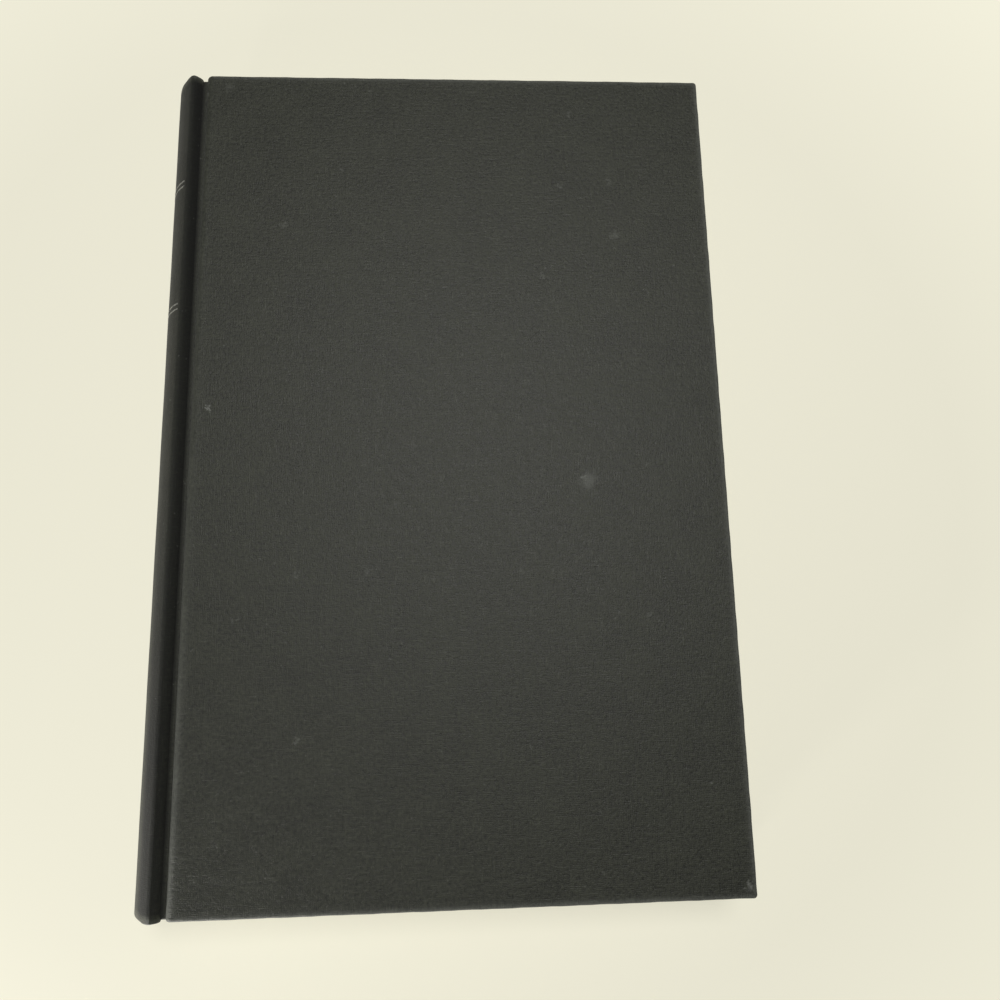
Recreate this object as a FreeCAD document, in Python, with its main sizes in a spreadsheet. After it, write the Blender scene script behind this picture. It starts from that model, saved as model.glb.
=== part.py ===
import FreeCAD, Part
import math
import os
import Sketcher

# Hardback book in full cloth, closed and lying on its back cover.
# Millimetres. X runs from the spine to the fore edge, Y from tail to head, Z up.
# The origin is under the middle of the whole book, on the surface that it lies on.
#
# The text block is rounded and backed: its back is an arc, its fore edge is the same
# arc hollowed in, and its outer leaves are bent out into a shoulder at each side.
# The case is two boards and a spine card in one covering cloth, with a groove each
# side of the spine where the covers hinge.

Vector = FreeCAD.Vector
DOCUMENT = FreeCAD.newDocument("HardbackBook")

# Driving dimensions: name, value, what it measures.
SIZES = [
    ("board_height", "235", "cover board, head to tail"),
    ("board_width", "148.8", "cover board, spine edge to fore edge"),
    ("board_thickness", "2.4", "cover board"),
    ("block_thickness", "24", "all the leaves, at the fore edge"),
    ("cloth_thickness", "0.35", "covering cloth"),
    ("paper_thickness", "0.15", "endpaper"),
    ("leaf_gap", "0.1", "air between flyleaf and pastedown"),
    ("head_square", "3", "board beyond the leaves at head and tail"),
    ("fore_square", "2.6", "board beyond the leaves at the fore edge"),
    ("turn_in", "15", "cloth turned over the board's inner face"),
    ("board_edge_radius", "1.85", "board's outer edge at the spine, beaten round"),
    ("cloth_edge_radius", "0.7", "cloth round the board's other edges"),
    ("corner_radius", "1", "cloth round the board's outer corners"),
    ("mitre_gap", "0.3", "slit between two turn-ins at a corner"),
    ("mitre_stop", "0.6", "end of that slit, from the board's corner"),
    ("groove_width", "2", "board's edge to the wall of the spine's shoulder"),
    ("groove_wall", "0.1", "straight part of that wall"),
    ("hinge_gap", "0.3", "split of the cloth along the hinge line"),
    ("spine_reach", "12.2", "spine's outermost line, from the board's edge"),
    ("spine_overrun", "0.6", "spine card beyond the boards, each end"),
    ("shoulder_radius", "1.95", "outside of the spine cloth at the shoulder"),
    ("shoulder_rise", "1.4", "leaves' shoulder above their flat side"),
    ("shoulder_clearance", "0.15", "leaves' shoulder to the groove's wall"),
    ("card_thickness", "0.6", "spine card"),
    ("card_margin", "0.5", "end of the round's wide arc to the card's edge"),
    ("hollow", "0.6", "room between spine card and lining"),
    ("lining_thickness", "0.2", "paper lining of the back, with its glue"),
    ("glue_line", "0.03", "glue between mull and lining"),
    ("lining_margin", "2.5", "shoulder's tip to the lining's edge, along the arc"),
    ("mull_thickness", "0.25", "open-weave cloth on the back, and band tape"),
    ("mull_flange", "25", "that cloth on the board"),
    ("fit", "0.2", "clearance between glued strips laid edge to edge"),
    ("bead_radius", "0.8", "sewn bead of a headband"),
    ("band_margin", "2", "shoulder's tip to the end of a headband, along the arc"),
    ("foil_thickness", "0.05", "metal foil on the spine"),
    ("rule_width", "0.45", "one foil rule"),
    ("rule_pitch", "1.6", "first to second rule of a pair"),
    ("upper_rules", "34", "first pair, from the cover's head edge"),
    ("lower_rules", "72.4", "second pair, from the cover's head edge"),
    ("rule_margin", "0.5", "end of the round's wide arc to the end of a rule"),
]

# Sizes that follow from the driving ones: name, kind, expression.
# Heights are from the book's middle plane, and x is from the board's spine edge
# or, for what lies on the round back, from the axis of that arc.
LENGTH = "App::PropertyFloat"
ANGLE = "App::PropertyAngle"
LAYOUT = [
    ("half_block", LENGTH, "Sizes.block_thickness / 2"),
    ("endpaper_stack", LENGTH, "2 * Sizes.paper_thickness + Sizes.leaf_gap"),
    ("board_inside", LENGTH, "half_block + endpaper_stack + Sizes.cloth_thickness"),
    ("half_total", LENGTH, "board_inside + Sizes.board_thickness + Sizes.cloth_thickness"),
    ("half_board", LENGTH, "Sizes.board_height / 2"),
    ("half_cover", LENGTH, "half_board + Sizes.cloth_thickness"),
    ("half_window", LENGTH, "half_board - Sizes.turn_in"),
    ("window_width", LENGTH, "Sizes.board_width - Sizes.turn_in"),
    ("cover_fore", LENGTH, "Sizes.board_width + Sizes.cloth_thickness"),
    ("half_leaf", LENGTH, "half_board - Sizes.head_square"),
    ("leaf_fore", LENGTH, "Sizes.board_width - Sizes.fore_square"),
    ("hinge_x", LENGTH, "-(Sizes.groove_width + Sizes.cloth_thickness) / 2"),
    ("cover_start", LENGTH, "hinge_x + Sizes.hinge_gap / 2"),
    ("spine_lip", LENGTH, "hinge_x - Sizes.hinge_gap / 2"),
    ("groove_floor", LENGTH, "board_inside - Sizes.cloth_thickness"),
    ("shoulder_z", LENGTH, "board_inside + Sizes.groove_wall"),
    ("shoulder_x", LENGTH, "-Sizes.groove_width - Sizes.shoulder_radius"),
    ("reach_in", LENGTH, "Sizes.spine_reach + shoulder_x"),
    ("spine_radius", LENGTH, "(reach_in ^ 2 + shoulder_z ^ 2 - Sizes.shoulder_radius ^ 2)"
                             " / (2 * (reach_in - Sizes.shoulder_radius))"),
    ("arc_x", LENGTH, "spine_radius - Sizes.spine_reach"),
    ("round_angle", ANGLE, "atan(shoulder_z / (arc_x - shoulder_x))"),
    ("cloth_inside", LENGTH, "spine_radius - Sizes.cloth_thickness"),
    ("card_inside", LENGTH, "cloth_inside - Sizes.card_thickness"),
    ("fold_inside", LENGTH, "card_inside - Sizes.cloth_thickness"),
    ("lining_outside", LENGTH, "card_inside - Sizes.hollow"),
    ("mull_outside", LENGTH, "lining_outside - Sizes.lining_thickness"),
    ("lining_inside", LENGTH, "mull_outside + Sizes.glue_line"),
    ("back_radius", LENGTH, "mull_outside - Sizes.mull_thickness"),
    ("tip_z", LENGTH, "half_block + Sizes.shoulder_rise"),
    ("tip_angle", ANGLE, "asin(tip_z / back_radius)"),
    ("tip_x", LENGTH, "arc_x - back_radius * cos(tip_angle)"),
    ("foot_x", LENGTH, "-Sizes.groove_width - Sizes.cloth_thickness"
                       " - Sizes.shoulder_clearance"),
    ("radian", ANGLE, "180 / pi * 1 deg"),
    ("lining_angle", ANGLE, "tip_angle - Sizes.lining_margin / back_radius * radian"),
    ("band_angle", ANGLE, "tip_angle - Sizes.band_margin / back_radius * radian"),
    ("card_angle", ANGLE, "round_angle - Sizes.card_margin / spine_radius * radian"),
    ("rule_angle", ANGLE, "round_angle - Sizes.rule_margin / spine_radius * radian"),
    ("half_spine", LENGTH, "half_board + Sizes.spine_overrun"),
    ("half_mull", LENGTH, "half_window - Sizes.fit"),
    ("board_x", LENGTH, "(Sizes.spine_reach + Sizes.foil_thickness - cover_fore) / 2"),
]


def make_sheet():
    """Write the driving dimensions into a spreadsheet, one alias a row."""
    sheet = DOCUMENT.addObject("Spreadsheet::Sheet", "Sizes")
    for row, (name, value, meaning) in enumerate(SIZES, start=1):
        sheet.set("A%d" % row, name)
        sheet.set("B%d" % row, value)
        sheet.set("C%d" % row, meaning)
        sheet.setAlias("B%d" % row, name)
    DOCUMENT.recompute()


def make_layout():
    """Bind every worked-out size to the cells that it follows from."""
    layout = DOCUMENT.addObject("App::VarSet", "Layout")
    for name, kind, expression in LAYOUT:
        layout.addProperty(kind, name)
        layout.setExpression(name, expression)
    DOCUMENT.recompute()
    return layout


make_sheet()
LAYOUT_OBJECT = make_layout()


def number(expression):
    """Value of an expression now, as a plain number."""
    result = LAYOUT_OBJECT.evalExpression(expression)
    return getattr(result, "Value", result)


def new_body(label):
    """Start a sub-part. Its label is the name of its file."""
    body = DOCUMENT.addObject("PartDesign::Body", label)
    body.Label = label
    return body


def place(body, x, z, turned=False):
    """Put a sub-part in the book. A turned one is the same piece for the other cover."""
    flip = 180 if turned else 0
    body.Placement = FreeCAD.Placement(Vector(), FreeCAD.Rotation(Vector(1, 0, 0), flip))
    body.setExpression("Placement.Base.x", x)
    body.setExpression("Placement.Base.z", z)


def plane(body, role):
    """One of the body's own origin planes."""
    return next(item for item in body.Origin.OriginFeatures if item.Role == role)


def new_sketch(body, name, role, height=None):
    """Sketch on an origin plane, or at a height above it."""
    sketch = body.newObject("Sketcher::SketchObject", name)
    sketch.AttachmentSupport = [(plane(body, role), "")]
    sketch.MapMode = "FlatFace"
    if height:
        sketch.setExpression("AttachmentOffset.Base.z", height)
    return sketch


def fix(sketch, kind, geometry, end, expression):
    """Dimension a corner from the sketch's origin, bound to an expression."""
    constraint = Sketcher.Constraint(kind, -1, 1, geometry, end, number(expression))
    index = sketch.addConstraint(constraint)
    sketch.setExpression("Constraints[%d]" % index, expression)


def arc_between(start, finish, radius, bulge):
    """Smaller arc between two points, bulging to the left (1) or right (-1) of the way."""
    along = finish - start
    left = Vector(-along.y, along.x, 0).normalize()
    sagitta = math.sqrt(radius ** 2 - (along.Length / 2) ** 2)
    centre = (start + finish) / 2 - left * bulge * sagitta
    first, last = (finish, start) if bulge > 0 else (start, finish)
    angle_first = math.atan2(first.y - centre.y, first.x - centre.x)
    angle_last = math.atan2(last.y - centre.y, last.x - centre.x)
    if angle_last < angle_first:
        angle_last += 2 * math.pi
    circle = Part.Circle(centre, Vector(0, 0, 1), radius)
    return Part.ArcOfCircle(circle, angle_first, angle_last)


def loop(sketch, corners):
    """Closed outline through corners (x, y), each side straight, or an arc to the next
    corner where a radius and the side that it bulges to follow: (x, y, radius, bulge)."""
    points = [Vector(number(corner[0]), number(corner[1]), 0) for corner in corners]
    sides = []
    for index, corner in enumerate(corners):
        start = points[index]
        finish = points[(index + 1) % len(points)]
        if len(corner) == 2:
            geometry = sketch.addGeometry(Part.LineSegment(start, finish), False)
            sides.append((geometry, 1, 2))
            continue
        arc = arc_between(start, finish, number(corner[2]), corner[3])
        geometry = sketch.addGeometry(arc, False)
        sides.append((geometry, 2, 1) if corner[3] > 0 else (geometry, 1, 2))
    for index, (geometry, start_end, finish_end) in enumerate(sides):
        following, following_start, _ = sides[(index + 1) % len(sides)]
        sketch.addConstraint(
            Sketcher.Constraint("Coincident", geometry, finish_end, following, following_start))
        fix(sketch, "DistanceX", geometry, start_end, corners[index][0])
        fix(sketch, "DistanceY", geometry, start_end, corners[index][1])
        if len(corners[index]) > 2:
            radius = corners[index][2]
            position = sketch.addConstraint(
                Sketcher.Constraint("Radius", geometry, number(radius)))
            sketch.setExpression("Constraints[%d]" % position, radius)


def rectangle(sketch, left, right, low, high):
    """Closed rectangle between four expressions."""
    loop(sketch, [(left, low), (right, low), (right, high), (left, high)])


def pad(body, name, sketch, length, symmetric=False, down=False):
    """Extrude a sketch: to both sides, up, or down."""
    feature = body.newObject("PartDesign::Pad", name)
    feature.Profile = sketch
    feature.setExpression("Length", length)
    feature.SideType = "Symmetric" if symmetric else "One side"
    feature.Reversed = down
    DOCUMENT.recompute()
    return feature


def pocket(body, name, sketch, length, up=False, symmetric=False):
    """Cut a sketch out of the solid, and make sure that it took something away."""
    before = body.Shape.Volume
    feature = body.newObject("PartDesign::Pocket", name)
    feature.Profile = sketch
    feature.setExpression("Length", length)
    feature.SideType = "Symmetric" if symmetric else "One side"
    feature.Reversed = up
    DOCUMENT.recompute()
    if body.Shape.Volume >= before:
        raise RuntimeError(name + " cuts nothing")
    return feature


def revolve(body, name, sketch, half_angle):
    """Turn a sketch about the axis of the round back, as far to each side."""
    feature = body.newObject("PartDesign::Revolution", name)
    feature.Profile = sketch
    feature.ReferenceAxis = (sketch, ["V_Axis"])
    feature.Midplane = True
    feature.setExpression("Angle", "2 * " + half_angle)
    DOCUMENT.recompute()
    return feature


def round_edges(body, name, radius, wanted):
    """Fillet the edges of the solid so far whose middle point is wanted."""
    base = body.Tip
    names = []
    for index, edge in enumerate(base.Shape.Edges, start=1):
        if wanted(edge):
            names.append("Edge%d" % index)
    feature = body.newObject("PartDesign::Fillet", name)
    feature.Base = (base, names)
    feature.setExpression("Radius", radius)
    DOCUMENT.recompute()
    return feature


def near(value, expression):
    """A coordinate lies at the value of an expression."""
    return abs(value - number(expression)) < 1e-4


def make_text_block():
    """All the leaves as one solid: round back with shoulders, hollow fore edge."""
    body = new_body("text_block")
    section = new_sketch(body, "BlockSection", "XZ_Plane")
    tip = "Layout.tip_x"
    foot = "Layout.foot_x"
    fore = "Layout.leaf_fore"
    loop(section, [
        (tip, "Layout.tip_z", "Layout.back_radius", -1),
        (tip, "-Layout.tip_z"),
        (foot, "-Layout.half_block"),
        (fore, "-Layout.half_block", "Layout.back_radius", 1),
        (fore, "Layout.half_block"),
        (foot, "Layout.half_block"),
    ])
    pad(body, "BlockPad", section, "2 * Layout.half_leaf", symmetric=True)
    place(body, "Layout.board_x", "Layout.half_total")
    return body


def make_flyleaf(label, turned):
    """Free leaf of an endpaper, lying on the block from its shoulder to the fore edge."""
    body = new_body(label)
    outline = new_sketch(body, label + "_outline", "XY_Plane")
    rectangle(outline, "Layout.foot_x", "Layout.leaf_fore",
              "-Layout.half_leaf", "Layout.half_leaf")
    pad(body, label + "_sheet", outline, "Sizes.paper_thickness")
    sign = "-" if turned else "+"
    place(body, "Layout.board_x", "Layout.half_total %s Layout.half_block" % sign, turned)
    return body


def on_spine(body, turned=False):
    """Place a piece whose own origin is on the axis of the round back."""
    place(body, "Layout.board_x + Layout.arc_x", "Layout.half_total", turned)


def make_curved_sheet(label, inside, outside, half_height, half_angle):
    """Sheet bent round the back: mull, lining or spine card."""
    body = new_body(label)
    section = new_sketch(body, label + "_section", "XY_Plane")
    rectangle(section, "-" + outside, "-" + inside, "-" + half_height, half_height)
    revolve(body, label + "_bend", section, half_angle)
    on_spine(body)
    return body


def make_headband(label, turned):
    """Sewn bead over the end of the leaves at the back, on a tape glued to the back."""
    body = new_body(label)
    bead_centre = "Layout.half_leaf + Sizes.bead_radius"
    tape = new_sketch(body, label + "_tape_section", "XY_Plane")
    rectangle(tape, "-Layout.mull_outside", "-Layout.back_radius",
              "Layout.half_window", bead_centre)
    revolve(body, label + "_tape", tape, "Layout.band_angle")
    bead = new_sketch(body, label + "_bead_section", "XY_Plane")
    centre_x = "Sizes.bead_radius / 2 - Layout.back_radius"
    centre = Vector(number(centre_x), number(bead_centre), 0)
    circle = Part.Circle(centre, Vector(0, 0, 1), number("Sizes.bead_radius"))
    geometry = bead.addGeometry(circle, False)
    fix(bead, "DistanceX", geometry, 3, centre_x)
    fix(bead, "DistanceY", geometry, 3, bead_centre)
    size = bead.addConstraint(
        Sketcher.Constraint("Radius", geometry, number("Sizes.bead_radius")))
    bead.setExpression("Constraints[%d]" % size, "Sizes.bead_radius")
    revolve(body, label + "_bead", bead, "Layout.band_angle")
    on_spine(body, turned)
    return body


def make_spine_cloth():
    """Covering cloth of the spine: from one groove over its shoulder, round the back and
    into the other groove, turned in over the spine card at head and tail."""
    body = new_body("spine_cloth")
    section = new_sketch(body, "SpineSection", "XZ_Plane")
    lip = "Layout.spine_lip - Layout.arc_x"
    wall = "-Sizes.groove_width - Layout.arc_x"
    inner_wall = "-Sizes.groove_width - Sizes.cloth_thickness - Layout.arc_x"
    top = "Layout.board_inside"
    floor = "Layout.groove_floor"
    turn = "Layout.shoulder_z"
    outer_x = "-Layout.spine_radius * cos(Layout.round_angle)"
    outer_z = "Layout.spine_radius * sin(Layout.round_angle)"
    inner_x = "-Layout.cloth_inside * cos(Layout.round_angle)"
    inner_z = "Layout.cloth_inside * sin(Layout.round_angle)"
    outer_shoulder = "Sizes.shoulder_radius"
    inner_shoulder = "Sizes.shoulder_radius - Sizes.cloth_thickness"
    loop(section, [
        (lip, top),
        (wall, top),
        (wall, turn, outer_shoulder, -1),
        (outer_x, outer_z, "Layout.spine_radius", -1),
        (outer_x, "-" + outer_z, outer_shoulder, -1),
        (wall, "-" + turn),
        (wall, "-" + top),
        (lip, "-" + top),
        (lip, "-" + floor),
        (inner_wall, "-" + floor),
        (inner_wall, "-" + turn, inner_shoulder, 1),
        (inner_x, "-" + inner_z, "Layout.cloth_inside", 1),
        (inner_x, inner_z, inner_shoulder, 1),
        (inner_wall, turn),
        (inner_wall, floor),
        (lip, floor),
    ])
    pad(body, "SpineWrap", section,
        "2 * (Layout.half_spine + Sizes.cloth_thickness)", symmetric=True)
    folds = new_sketch(body, "SpineFolds", "XY_Plane")
    bedded = "Sizes.cloth_thickness / 2 - Layout.spine_radius"
    under_card = "-Layout.card_inside"
    inside = "-Layout.fold_inside"
    card_end = "Layout.half_spine"
    fold_end = "Layout.half_spine + Sizes.cloth_thickness"
    hem = "Layout.half_spine + Sizes.cloth_thickness - Sizes.turn_in"
    for sign in ("", "-"):
        corners = [
            (bedded, card_end),
            (bedded, fold_end),
            (inside, fold_end),
            (inside, hem),
            (under_card, hem),
            (under_card, card_end),
        ]
        loop(folds, [(x, "%s(%s)" % (sign, y)) for x, y in corners])
    revolve(body, "SpineTurnIns", folds, "Layout.card_angle")
    on_spine(body)
    return body


def make_foil_rules():
    """Two pairs of thin foil rules across the round of the spine."""
    body = new_body("foil_rules")
    section = new_sketch(body, "RuleSections", "XY_Plane")
    outside = "-Layout.spine_radius - Sizes.foil_thickness"
    for pair in ("Sizes.upper_rules", "Sizes.lower_rules"):
        for shift in ("", " - Sizes.rule_pitch"):
            middle = "Layout.half_cover - %s%s" % (pair, shift)
            rectangle(section, outside, "-Layout.spine_radius",
                      middle + " - Sizes.rule_width / 2", middle + " + Sizes.rule_width / 2")
    revolve(body, "RuleBends", section, "Layout.rule_angle")
    on_spine(body)
    return body


def on_cover(body, turned):
    """Place a cover's piece. Its own origin is on the board's inner face, at the middle
    of the board's spine edge, and its own up is outwards."""
    sign = "-" if turned else "+"
    place(body, "Layout.board_x", "Layout.half_total %s Layout.board_inside" % sign, turned)


def is_line_along_spine(item, x, z):
    """An edge that runs from tail to head at one x and one height."""
    box = item.BoundBox
    return (near(box.XMin, x) and near(box.XMax, x) and near(box.ZMin, z)
            and near(box.ZMax, z))


def make_board(label, turned):
    """Grey board of a cover, rounded along the outer edge at its spine side."""
    body = new_body(label)
    outline = new_sketch(body, label + "_outline", "XY_Plane")
    rectangle(outline, "0", "Sizes.board_width", "-Layout.half_board", "Layout.half_board")
    pad(body, label + "_slab", outline, "Sizes.board_thickness")
    round_edges(body, label + "_spine_edge", "Sizes.board_edge_radius",
                lambda item: is_line_along_spine(item, "0", "Sizes.board_thickness"))
    on_cover(body, turned)
    return body


def make_cover_cloth(label, turned):
    """Covering cloth of one cover: over the board's face, round its edges, turned in on
    three sides with mitred corners, and down into the groove to the hinge line."""
    body = new_body(label)
    edge = "Layout.half_cover"
    cloth = "Sizes.cloth_thickness"
    outside = new_sketch(body, label + "_outside", "XY_Plane")
    rectangle(outside, "-" + cloth, "Layout.cover_fore", "-" + edge, edge)
    pad(body, label + "_wrap", outside, "Sizes.board_thickness + Sizes.cloth_thickness")
    room = new_sketch(body, label + "_board_room", "XY_Plane")
    rectangle(room, "0", "Sizes.board_width", "-Layout.half_board", "Layout.half_board")
    pocket(body, label + "_room", room, "Sizes.board_thickness", up=True)
    round_edges(body, label + "_room_edge", "Sizes.board_edge_radius",
                lambda item: is_line_along_spine(item, "0", "Sizes.board_thickness"))
    inside = new_sketch(body, label + "_turn_ins", "XY_Plane")
    rectangle(inside, "Layout.cover_start", "Layout.cover_fore", "-" + edge, edge)
    rectangle(inside, "0", "Layout.window_width", "-Layout.half_window", "Layout.half_window")
    pad(body, label + "_hem", inside, cloth, down=True)

    def is_corner(item):
        middle = item.CenterOfMass
        upright = near(item.BoundBox.XLength, "0") and near(item.BoundBox.YLength, "0")
        return upright and near(middle.x, "Layout.cover_fore") and near(abs(middle.y), edge)

    def is_rim(item):
        box = item.BoundBox
        outer = near(box.ZMin, "Sizes.board_thickness + Sizes.cloth_thickness")
        inner = near(box.ZMax, "-Sizes.cloth_thickness")
        if not (outer or inner):
            return False
        reaches_edge = near(box.XMax, "Layout.cover_fore")
        at_end = near(box.YMax, edge) or near(box.YMin, "-" + edge)
        return reaches_edge or at_end and not near(box.XLength, "0")

    round_edges(body, label + "_corners", "Sizes.corner_radius", is_corner)
    round_edges(body, label + "_rim", "Sizes.cloth_edge_radius", is_rim)
    spine_edge = new_sketch(body, label + "_spine_edge_waste", "XZ_Plane")
    top = "Sizes.board_thickness + " + cloth
    radius = "Sizes.board_edge_radius + " + cloth
    loop(spine_edge, [
        ("-%s - Sizes.fit" % cloth, top + " + Sizes.fit"),
        ("-%s - Sizes.fit" % cloth, "%s - (%s)" % (top, radius)),
        ("-" + cloth, "%s - (%s)" % (top, radius), radius, 1),
        ("Sizes.board_edge_radius", top),
        ("Sizes.board_edge_radius", top + " + Sizes.fit"),
    ])
    pocket(body, label + "_spine_edge", spine_edge, "2 * Layout.half_cover + Sizes.fit",
           symmetric=True)
    slits = new_sketch(body, label + "_slits", "XY_Plane", "-Sizes.cloth_thickness")
    half_slit = "Sizes.mitre_gap / sqrt(8)"
    for sign in ("", "-"):
        inner_x = "Layout.window_width - Sizes.mitre_gap"
        inner_y = "Layout.half_window - Sizes.mitre_gap"
        outer_x = "Sizes.board_width - Sizes.mitre_stop"
        outer_y = "Layout.half_board - Sizes.mitre_stop"
        loop(slits, [
            ("%s + %s" % (inner_x, half_slit), "%s(%s - %s)" % (sign, inner_y, half_slit)),
            ("%s + %s" % (outer_x, half_slit), "%s(%s - %s)" % (sign, outer_y, half_slit)),
            ("%s - %s" % (outer_x, half_slit), "%s(%s + %s)" % (sign, outer_y, half_slit)),
            ("%s - %s" % (inner_x, half_slit), "%s(%s + %s)" % (sign, inner_y, half_slit)),
        ])
    pocket(body, label + "_mitres", slits, cloth, up=True)
    on_cover(body, turned)
    return body


def make_mull_flange(label, turned):
    """Edge of the open-weave cloth that holds the block, glued to the board's inside."""
    body = new_body(label)
    outline = new_sketch(body, label + "_outline", "XY_Plane")
    rectangle(outline, "Sizes.fit", "Sizes.mull_flange", "-Layout.half_mull", "Layout.half_mull")
    pad(body, label + "_strip", outline, "Sizes.mull_thickness", down=True)
    on_cover(body, turned)
    return body


def make_pastedown(label, turned):
    """Glued leaf of an endpaper. It lies on the turn-ins round its border, and sinks
    between them onto the board and onto the mull."""
    body = new_body(label)
    paper = "Sizes.paper_thickness"
    sheet = new_sketch(body, label + "_sheet_outline", "XY_Plane", "-Sizes.cloth_thickness")
    rectangle(sheet, "Layout.cover_start", "Layout.leaf_fore",
              "-Layout.half_leaf", "Layout.half_leaf")
    pad(body, label + "_sheet", sheet, paper, down=True)
    sunk = new_sketch(body, label + "_sunk_outline", "XY_Plane")
    rectangle(sunk, "0", "Layout.window_width", "-Layout.half_window", "Layout.half_window")
    pad(body, label + "_sunk", sunk, "Sizes.cloth_thickness + Sizes.paper_thickness", down=True)
    over_mull = new_sketch(body, label + "_mull_outline", "XY_Plane")
    rectangle(over_mull, "0", "Sizes.mull_flange",
              "-Layout.half_window", "Layout.half_window")
    pocket(body, label + "_mull_room", over_mull, "Sizes.mull_thickness")
    low = "-Sizes.cloth_thickness - Sizes.paper_thickness"
    shallow = new_sketch(body, label + "_shallow_outline", "XY_Plane", low)
    rectangle(shallow, paper, "Layout.window_width - " + paper,
              "-Layout.half_window + " + paper, "Layout.half_window - " + paper)
    pocket(body, label + "_shallow", shallow,
           "Sizes.cloth_thickness - Sizes.mull_thickness", up=True)
    deep = new_sketch(body, label + "_deep_outline", "XY_Plane", low)
    rectangle(deep, "Sizes.mull_flange + " + paper, "Layout.window_width - " + paper,
              "-Layout.half_window + " + paper, "Layout.half_window - " + paper)
    pocket(body, label + "_deep", deep, "Sizes.cloth_thickness", up=True)
    on_cover(body, turned)
    return body


def make_block_parts():
    """The leaves, and everything glued round them or carried on the round back."""
    return [
        make_text_block(),
        make_flyleaf("front_flyleaf", False),
        make_flyleaf("back_flyleaf", True),
        make_curved_sheet("spine_mull", "Layout.back_radius", "Layout.mull_outside",
                          "Layout.half_mull", "Layout.tip_angle"),
        make_curved_sheet("spine_lining", "Layout.lining_inside", "Layout.lining_outside",
                          "Layout.half_leaf", "Layout.lining_angle"),
        make_curved_sheet("spine_card", "Layout.card_inside", "Layout.cloth_inside",
                          "Layout.half_spine", "Layout.card_angle"),
        make_headband("head_band", False),
        make_headband("tail_band", True),
        make_spine_cloth(),
        make_foil_rules(),
    ]


def make_cover_parts(side, turned):
    """The four pieces of one cover."""
    return [
        make_board(side + "_board", turned),
        make_cover_cloth(side + "_cloth", turned),
        make_mull_flange(side + "_mull_flange", turned),
        make_pastedown(side + "_pastedown", turned),
    ]


def check(bodies):
    """Stop if any object failed, or any sub-part's shape is missing or not sound."""
    DOCUMENT.recompute()
    for item in DOCUMENT.Objects:
        if "Invalid" in item.State or "Error" in item.State:
            raise RuntimeError("%s failed: %s" % (item.Name, item.State))
    for body in bodies:
        if body.Shape.isNull() or not body.Shape.isValid():
            raise RuntimeError(body.Label + " has no sound shape")


def main():
    """Build the book and write one file a sub-part."""
    bodies = make_block_parts()
    bodies += make_cover_parts("front", False)
    bodies += make_cover_parts("back", True)
    check(bodies)
    os.makedirs("parts", exist_ok=True)
    for body in bodies:
        body.Shape.exportStep("parts/%s.step" % body.Label)
        box = body.Shape.BoundBox
        print("%-18s solids %d  volume %9.1f  x %7.2f %7.2f  y %7.2f %7.2f  z %6.2f %6.2f" % (
            body.Label, len(body.Shape.Solids), body.Shape.Volume,
            box.XMin, box.XMax, box.YMin, box.YMax, box.ZMin, box.ZMax))


main()
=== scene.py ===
# %% [markdown]
# # A hardback book in charcoal cloth
# The book lies closed on its back cover, spine to the left, head away from us. Its case is two
# boards and a strip of card, all covered in one fine-woven cloth. The leaves inside are sewn,
# rounded at the back and lined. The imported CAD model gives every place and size, so the first
# step is to load it, and each new surface is then worked out around it.

# %% Load the frame
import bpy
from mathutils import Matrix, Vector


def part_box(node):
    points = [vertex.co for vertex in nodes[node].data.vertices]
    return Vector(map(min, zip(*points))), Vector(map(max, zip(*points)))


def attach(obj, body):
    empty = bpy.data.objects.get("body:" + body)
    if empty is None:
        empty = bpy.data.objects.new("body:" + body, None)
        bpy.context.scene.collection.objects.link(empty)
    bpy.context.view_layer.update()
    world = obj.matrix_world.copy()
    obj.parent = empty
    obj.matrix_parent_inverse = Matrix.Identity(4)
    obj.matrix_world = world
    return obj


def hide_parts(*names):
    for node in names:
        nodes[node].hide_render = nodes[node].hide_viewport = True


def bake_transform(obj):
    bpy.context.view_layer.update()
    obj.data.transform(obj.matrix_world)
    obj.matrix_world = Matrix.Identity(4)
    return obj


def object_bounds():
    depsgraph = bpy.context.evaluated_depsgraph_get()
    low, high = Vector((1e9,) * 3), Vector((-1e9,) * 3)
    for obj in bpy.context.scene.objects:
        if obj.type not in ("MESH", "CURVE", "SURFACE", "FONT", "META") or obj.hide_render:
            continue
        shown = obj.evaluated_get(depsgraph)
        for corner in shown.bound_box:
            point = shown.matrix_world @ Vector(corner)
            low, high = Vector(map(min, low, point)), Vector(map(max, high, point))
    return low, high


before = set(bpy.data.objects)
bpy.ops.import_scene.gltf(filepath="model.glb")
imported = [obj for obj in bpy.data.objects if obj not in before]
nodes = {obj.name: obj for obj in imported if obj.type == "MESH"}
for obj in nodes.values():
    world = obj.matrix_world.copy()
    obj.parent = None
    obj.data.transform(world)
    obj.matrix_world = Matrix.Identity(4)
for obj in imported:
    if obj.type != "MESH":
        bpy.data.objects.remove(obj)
cad_low, cad_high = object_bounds()
print("CAD box, metres:", [round(v, 5) for v in (*cad_low, *cad_high)])

# %% Tools
import bmesh
import bpy
import numpy as np
from mathutils import Vector

MM = 0.001

# %% [markdown]
# # Sizes
# A bookbinder works from the boards: the cloth, the groove and the leaves are all set out from
# them. We could type every size again, but the CAD boxes already hold them, so they are read
# from there, in millimetres. Two axes are moved for comfort: x starts at the boards' spine edge,
# and h is the height over the book's middle plane. The back cover is the front one with h turned.

# %% Read the sizes
def box_mm(node):
    """Lowest and highest corner of a CAD node, in millimetres."""
    low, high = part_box(node)
    return np.array(low) / MM, np.array(high) / MM


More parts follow.
